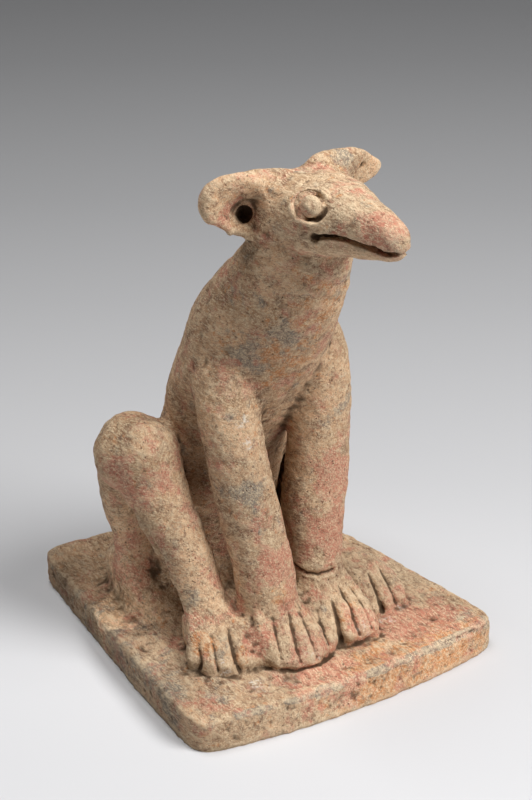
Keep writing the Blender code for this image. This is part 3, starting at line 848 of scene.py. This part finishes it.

# stains of the clay, with spots of tone and of painted light and shade among them: middle, radius, strength
stains = {
    "blush": [
        ((-16, -42, 34), 12, 1.0), ((-11, -44, 24), 9, 0.9), ((14, -38, 34), 13, 1.0),
        ((18, -33, 58), 12, 0.8), ((-6, -88, 178), 8, 1.7), ((-1, -92, 179), 5, 1.6),
        ((-30, -34, 166), 8, 0.8), ((44, -56, 1), 16, 1.0), ((30, -62, 1), 12, 0.8),
        ((-12, -70, 1), 13, 0.9), ((-56, -2, 66), 12, 0.8), ((-48, 16, 25), 16, 0.6),
        ((-6, -42, 140), 8, 0.7), ((-24, -50, 6), 7, 0.8), ((-27, -48, 8), 8, 1.2), ((-14, -58, 5), 7, 1.2),
        ((16, -56, 5), 8, 1.2),
    ],
    # grey smoke patches; the spots on the slab's left side face are partly real grey stains and partly
    # painted shade
    "smokeAndShade": [
        ((-22, -32, 63), 8, 1.0), ((-20, -36, 52), 6, 0.8), ((-22, -28, 95), 7, 0.6),
        ((-12, -40, 125), 9, 0.9), ((-20, -30, 118), 9, 1.1), ((-43, -46, 6), 4, 1.2),
        ((-12, -56, 8), 4, 1.1), ((-24, -26, 140), 6, 0.9), ((6, -48, 146), 7, 0.7),
        ((-46, -28, 22), 6, 0.9), ((-50, -58, 0), 9, 0.7), ((-62, -30, -3), 14, 0.8),
        ((-40, -44, 8), 5, 0.6), ((22, -28, 85), 8, 0.5), ((-5, -94, 173), 6, 1.2), ((0, -34, 184), 5, 0.8),
        ((18, -34, 184), 5, 1.5), ((56, -66, -4), 9, 0.8), ((-66, -50, -4), 10, 0.8),
        ((-64, -6, -4), 12, 0.8), ((-60, 26, -4), 12, 0.7),
    ],
    "salt": [
        ((-21.4, -30, 90), 4, 0.9), ((-21.2, -31, 82), 4, 0.8), ((-36, -62, 1), 7, 0.8),
        ((-24, -66, 1), 6, 0.7), ((-13, -62, 4), 5, 0.9), ((14, -57, 5), 5, 0.8), ((30, -50, 0), 5, 0.9),
        ((40, -46, 0), 5, 0.7), ((-43, -50, 3), 5, 0.8),
    ],
    "ochre": [
        ((-12, -46, 22), 7, 1.0), ((10, -78, -6), 22, 1.3), ((44, -74, -6), 20, 1.3),
        ((-46, -40, 9), 6, 1.3), ((-36, -48, 4), 5, 1.1), ((12, -52, 8), 6, 1.2),
        ((-12, -38, 118), 20, 0.75), ((0, -46, 138), 14, 0.8), ((28, -77, -8), 16, 1.3),
    ],
    "bleached": [
        ((0, -66, 0), 60, 0.6), ((46, -20, 0), 40, 0.8), ((-6, -66, 184), 24, 0.8),
        ((-56, -30, 0), 24, 0.5),
    ],
    # tone spots: partly the clay's own tone, partly painted light and shade, such as the darkened left side
    # of the slab and the lifted left top of the slab and right thigh
    "paintedLightAndTone": [
        ((-56, 10, 5), 22, 0.38), ((-60, 50, -8), 24, -0.5), ((-65, 22, -12), 18, -0.5),
        ((-48, 16, 30), 16, 0.10), ((-26, -22, 100), 14, 0.24), ((36, -74, -7), 28, 0.24),
        ((-8, -78, -7), 24, 0.18), ((13, -50, 7), 12, 0.18), ((-16, -46, 160), 11, -0.14),
        ((-2, -96, 173), 7, -0.15), ((-20, -30, 62), 20, -0.2), ((-40, -44, 8), 14, -0.18),
        ((-10, -66, 0), 40, -0.1), ((50, -40, 0), 34, -0.08), ((-48, 4, 72), 16, -0.14),
        ((-12, -82, 176), 12, -0.06), ((-68, -44, -9), 26, -0.38), ((-66, -8, -9), 24, -0.38),
        ((-62, 30, -9), 24, -0.38), ((-42, -14, 40), 20, -0.14), ((0, -48, 186), 18, 0.16),
        ((-14, -26, 122), 34, -0.16), ((-12, -40, 150), 18, -0.12),
    ],
}

# the grey-green line along the slab's front edge: path, half width, strength
stainedLines = {
    "smokeAndShade": (
        [
            (-52, -73, -0.6), (-37, -77, -0.6), (-10, -77.4, -0.6),
            (18, -76.8, -0.6), (40, -75, -0.6), (62, -72.5, -0.6),
        ],
        1.7,
        2.5,
    ),
}
stainReach = 1.6  # a stain fades out at this many radii

for name, spots in stains.items():
    total = np.zeros(len(points))
    for middle, radius, strength in spots:
        away = np.linalg.norm(points - lifted(middle), axis=1) / (radius * millimetre)
        share = strength * easedFall(away, 0.0, stainReach)
        total = np.where(np.abs(share) > np.abs(total), share, total)
    if name in stainedLines:
        path, width, strength = stainedLines[name]
        away, _ = strokeDistance(points, lifted(path))
        total = np.maximum(total, strength * easedFall(away, 0.0, stainReach * width * millimetre))
    keep(name, total)


def linear(colour):
    # sRGB hex to linear: c/12.92 when dark, else ((c + 0.055) / 1.055)^2.4
    channels = np.array([int(colour[k : k + 2], 16) for k in (1, 3, 5)]) / 255
    straight = np.where(channels <= 0.04045, channels / 12.92, ((channels + 0.055) / 1.055) ** 2.4)
    return (*straight.tolist(), 1.0)


def addNode(tree, kind, links=None, **settings):
    # a node, its settings by name, and what its sockets hold: an output to link or a value
    made = tree.nodes.new(kind)
    for name, value in settings.items():
        setattr(made, name, value)
    for socket, value in (links or {}).items():
        if isinstance(value, bpy.types.NodeSocket):
            tree.links.new(value, made.inputs[socket])
        else:
            made.inputs[socket].default_value = value
    return made


clay = {
    "buff": "#d0a883",
    "tan": "#aa8766",
    "umber": "#7f604a",
    "blush": "#ba7a64",
    "smokeAndShade": "#827b70",
    "ochre": "#c28352",
    "crust": "#dfc8a6",  # pale lime crust left by the soil
    "bleached": "#c8b193",
    "salt": "#ece6da",
    # dark soil colour, also used as painted shade in the hollows and creases
    "dirtAndShade": "#44311f",
    "roughness": 0.88,
    "ior": 1.5,
    "specular": 0.3,
    "grain": 0.8,  # grit of the clay, mm: real grit of 0.3 mm is too fine to show
    "grainTint": (0.86, 1.16),
    "hairWidth": 1.5,  # lines left by wiping, mm
    "hairBand": (0.025, 0.0),
    "pore": 1.7,
    "poreBand": (0.26, 0.08),
    "poreClusters": 7.0,
    "clusterBand": (0.54, 0.62),
    "reliefDepth": 0.0008,  # metres
}

# patches of colour over the buff: width in mm, seed, detail and roughness of the noise that draws each,
# where its band starts and where it is full, its share there, and how far a stain lifts it;
# the crust's real fibres of 0.2 mm are too fine to show, so they are drawn coarser
clayPatches = {
    "tan": {"drawn": (24.0, 3.0, 4, 0.55), "band": (0.40, 0.60, 1.0)},
    "cloud": {"drawn": (7.0, 4.0, 6, 0.7), "band": (0.49, 0.61, 0.8), "colour": "umber"},
    "ochre": {"drawn": (4.5, 6.0, 5, 0.65), "band": (0.58, 0.68, 0.9), "lift": 0.2},
    "smokeAndShade": {"drawn": (8.0, 7.0, 7, 0.72), "band": (0.56, 0.67, 0.85), "lift": 0.2},
    "crust": {"drawn": (1.5, 2.0, 4, 0.65), "band": (0.50, 0.64, 0.55)},
    "blush": {"drawn": (10.0, 5.0, 6, 0.7), "band": (0.51, 0.63, 0.88), "lift": 0.17},
    "speck": {"drawn": (1.7, 9.0, 3, 0.6), "band": (0.40, 0.30, 0.7), "colour": "umber"},
    "salt": {"drawn": (2.5, 10.0, 6, 0.8), "band": (0.66, 0.80, 0.7), "lift": 0.24},
}
# ridges are rubbed pale, partly real wear and partly a painted highlight; hollows and creases are darkened,
# partly real dirt and partly painted shade
clayWearAndPaintedLight = [
    ("hollow", (-0.2, -0.9, 0.35), "crust"),
    ("hollow", (0.12, 0.9, 0.8), "dirtAndShade"),
    ("crease", (0.15, 0.9, 0.7), "dirtAndShade"),
]


def earthenware():
    # low-fired earthenware, modelled by hand, scraped and fired in an open kiln:
    # matt and mottled, with no gloss at all
    material = bpy.data.materials.new("earthenwareHandModelledFired")
    material.use_nodes = True
    tree = material.node_tree
    shader = tree.nodes["Principled BSDF"]
    shader.inputs["Roughness"].default_value = clay["roughness"]
    shader.inputs["IOR"].default_value = clay["ior"]
    shader.inputs["Specular IOR Level"].default_value = clay["specular"]
    place = addNode(tree, "ShaderNodeTexCoord").outputs["Object"]

    def noise(size, seed, detail=3.0, roughness=0.55, vector=place):
        # smooth noise in patches of the given millimetres
        return addNode(
            tree, "ShaderNodeTexNoise",
            {"Vector": vector, "W": seed, "Scale": 1000 / size, "Detail": detail, "Roughness": roughness},
            noise_dimensions="4D",
        ).outputs["Fac"]

    def step(value, low, high, top=1.0):
        return addNode(
            tree, "ShaderNodeMapRange",
            {"Value": value, "From Min": low, "From Max": high, "To Max": top},
            interpolation_type="SMOOTHSTEP",
        ).outputs["Result"]

    def plus(first, second, operation="ADD"):
        return addNode(tree, "ShaderNodeMath", {0: first, 1: second}, operation=operation).outputs[0]

    def mixed(share, under, over, blend="MIX"):
        return addNode(
            tree, "ShaderNodeMix", {"Factor": share, 6: under, 7: over}, data_type="RGBA", blend_type=blend
        ).outputs[2]

    def kept(name):
        return addNode(tree, "ShaderNodeAttribute", attribute_name=name).outputs["Fac"]

    wiped = addNode(
        tree, "ShaderNodeMapping",
        {"Vector": place, "Rotation": (0.6, 0.5, -0.6), "Scale": (1.0, 0.28, 1.0)},
    ).outputs["Vector"]
    crossed = addNode(
        tree, "ShaderNodeMapping",
        {"Vector": place, "Rotation": (-0.5, 0.9, 0.4), "Scale": (1.0, 0.25, 1.0)},
    ).outputs["Vector"]
    grain = noise(clay["grain"], 1.0, 2, 0.6)
    patchNoise = {}
    for name, patch in clayPatches.items():
        patchNoise[name] = noise(*patch["drawn"], wiped if name == "crust" else place)

    def patched(under, name):
        # the patch over what lies under it, spread where its stain lies
        patch, value = clayPatches[name], patchNoise[name]
        if "lift" in patch:
            value = plus(value, plus(kept(name), patch["lift"], "MULTIPLY"))
        return mixed(step(value, *patch["band"]), under, linear(clay[patch.get("colour", name)]))

    colour = patched(linear(clay["buff"]), "tan")
    colour = mixed(plus(kept("bleached"), 0.7, "MULTIPLY"), colour, linear(clay["bleached"]))
    for name in ("cloud", "ochre", "smokeAndShade", "crust", "blush"):
        colour = patched(colour, name)
    hairs = ((8.0, wiped, "crust", 0.9), (12.0, crossed, "crust", 0.7), (13.0, wiped, "umber", 0.75))
    for seed, way, over, share in hairs:
        hair = plus(plus(noise(clay["hairWidth"], seed, 3, 0.6, way), 0.5, "SUBTRACT"), 0.0, "ABSOLUTE")
        colour = mixed(step(hair, *clay["hairBand"], share), colour, linear(clay[over]))
    for name in ("speck", "salt"):
        colour = patched(colour, name)
    # pale ridges, partly wear and partly painted highlight; dark hollows and creases, partly dirt and partly
    # painted shade
    for name, band, over in clayWearAndPaintedLight:
        colour = mixed(step(kept(name), *band), colour, linear(clay[over]))
    cells = addNode(tree, "ShaderNodeTexVoronoi", {"Vector": place, "Scale": 1000 / clay["pore"]})
    pore = plus(
        step(cells.outputs["Distance"], *clay["poreBand"]),
        step(noise(clay["poreClusters"], 11.0, 5, 0.7), *clay["clusterBand"]),
        "MULTIPLY",
    )
    colour = mixed(plus(pore, 0.65, "MULTIPLY"), colour, linear(clay["dirtAndShade"]))
    dark, bright = clay["grainTint"]
    tint = addNode(tree, "ShaderNodeMapRange", {"Value": grain, "To Min": dark, "To Max": bright})
    # the tone spots scale the colour, partly the clay's own tone and partly painted light and shade
    tint = plus(tint.outputs["Result"], plus(kept("paintedLightAndTone"), 1.0), "MULTIPLY")
    colour = addNode(tree, "ShaderNodeVectorMath", {0: colour, "Scale": tint}, operation="SCALE").outputs[0]
    tree.links.new(colour, shader.inputs["Base Color"])

    # the bump: grit and crust stand up, specks and pores lie deep
    relief = plus(plus(grain, 0.35, "MULTIPLY"), plus(patchNoise["crust"], 0.9, "MULTIPLY"))
    relief = plus(relief, plus(step(patchNoise["speck"], 0.42, 0.30), 0.35, "MULTIPLY"), "SUBTRACT")
    relief = plus(relief, plus(pore, 0.8, "MULTIPLY"), "SUBTRACT")
    bump = addNode(
        tree, "ShaderNodeBump", {"Height": relief, "Strength": 0.9, "Distance": clay["reliefDepth"]}
    )
    tree.links.new(bump.outputs["Normal"], shader.inputs["Normal"])
    return material


dog = objectFrom("earthenwareDog", mesh)
mesh.name = "earthenwareDog"
mesh.materials.clear()
mesh.materials.append(earthenware())
for spare in (dogForm, knives, rim):
    bpy.data.objects.remove(spare)
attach(dog, "root")
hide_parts("seated_dog")
print("clay coloured")

studio = {
    "floor": "#ebebed",
    "paperRoughness": 0.9,
    "paperSpecular": 0.1,
    "sweepRadius": 0.6,
    "sweepStart": 1.25,  # how far behind the dog the floor starts to rise
    "halfWidth": 4.0,
    "front": -5.0,
    "wallHeight": 3.0,
    "fadeFrom": -0.10,  # painted shade darkens the paper behind the dog, over these metres
    "fadeTo": 1.10,
    "keyPlace": (0.42, -0.85, 1.10),
    "keySize": 0.70,
    "keyPower": 20.0,
    "fillPlace": (-1.2, -0.9, 0.5),
    "fillSize": 1.2,
    "fillPower": 0.6,
    "topPlace": (-0.30, 0.10, 1.5),
    "topSize": 0.9,
    "topPower": 13.5,
    "surround": 0.19,
    "lightsAim": (0, 0, 0.08),
}

# share along the painted shade, and the brightness painted on the paper there
paperPaintedShade = [
    (0.0, 0.775), (0.033, 0.79), (0.067, 0.785), (0.12, 0.715), (0.18, 0.657), (0.254, 0.609),
    (0.366, 0.538), (0.51, 0.469), (0.663, 0.431), (0.806, 0.399), (0.952, 0.392),
]


def lookAlong():
    # the camera's direction along the floor
    look = np.array(cameraSetup["target"][:2]) - np.array(cameraSetup["place"][:2])
    return look / np.linalg.norm(look)


def studioSweep():
    # a floor strip carried back and up: straight floor, a quarter circle, straight wall
    bend = np.linspace(0, np.pi / 2, 24)
    radius, start = studio["sweepRadius"], studio["sweepStart"]
    along = np.concatenate([[studio["front"]], start + radius * np.sin(bend), [start + radius]])
    height = np.concatenate([[0.0], radius * (1 - np.cos(bend)), [studio["wallHeight"]]])
    # the strip is turned so that its wall stands behind the dog as the camera sees it
    look = lookAlong()
    right = np.array([look[1], -look[0]])
    sides = np.array([-1.0, 1.0]) * studio["halfWidth"]
    flat = along[:, None, None] * look + sides[None, :, None] * right
    points = np.concatenate([flat, np.broadcast_to(height[:, None, None], (len(along), 2, 1))], -1)
    k = np.arange(len(along) - 1) * 2
    return points.reshape(-1, 3), np.stack([k, k + 1, k + 3, k + 2], -1).tolist()


def paperMaterial():
    # matt background paper, with painted shade darkening it smoothly towards the back
    material = bpy.data.materials.new("paperMatt")
    material.use_nodes = True
    tree = material.node_tree
    shader = tree.nodes["Principled BSDF"]
    shader.inputs["Roughness"].default_value = studio["paperRoughness"]
    shader.inputs["Specular IOR Level"].default_value = studio["paperSpecular"]
    place = addNode(tree, "ShaderNodeTexCoord").outputs["Object"]
    away = addNode(
        tree, "ShaderNodeVectorMath", {0: place, 1: (*lookAlong(), 0.0)}, operation="DOT_PRODUCT"
    ).outputs["Value"]
    band = {"From Min": studio["fadeFrom"], "From Max": studio["fadeTo"]}
    share = addNode(tree, "ShaderNodeMapRange", {"Value": away, **band})
    fade = addNode(tree, "ShaderNodeValToRGB", {"Fac": share.outputs["Result"]})
    ramp = fade.color_ramp
    paper = np.array(linear(studio["floor"])[:3])
    while len(ramp.elements) < len(paperPaintedShade):
        ramp.elements.new(1.0)
    for element, (where, bright) in zip(ramp.elements, paperPaintedShade):
        element.position = where
        element.color = (*(paper * bright).tolist(), 1.0)
    tree.links.new(fade.outputs["Color"], shader.inputs["Base Color"])
    return material


def areaLight(name, place, size, power):
    lamp = bpy.data.lights.new(name, "AREA")
    lamp.shape = "DISK"
    lamp.size = size
    lamp.energy = power
    light = bpy.data.objects.new(name, lamp)
    bpy.context.scene.collection.objects.link(light)
    light.location = place
    aim = Vector(studio["lightsAim"]) - Vector(place)
    light.rotation_euler = aim.to_track_quat("-Z", "Y").to_euler()


sweep = objectFrom("sweep", meshFrom("sweep", studioSweep()))
sweep.data.materials.append(paperMaterial())
for polygon in sweep.data.polygons:
    polygon.use_smooth = True
for name in ("key", "fill", "top"):
    areaLight(name + "Light", studio[name + "Place"], studio[name + "Size"], studio[name + "Power"])
world = bpy.data.worlds.new("studioAir")
world.use_nodes = True
world.node_tree.nodes["Background"].inputs["Strength"].default_value = studio["surround"]
bpy.context.scene.world = world
bpy.context.scene.view_settings.view_transform = "Standard"
print("studio lit")
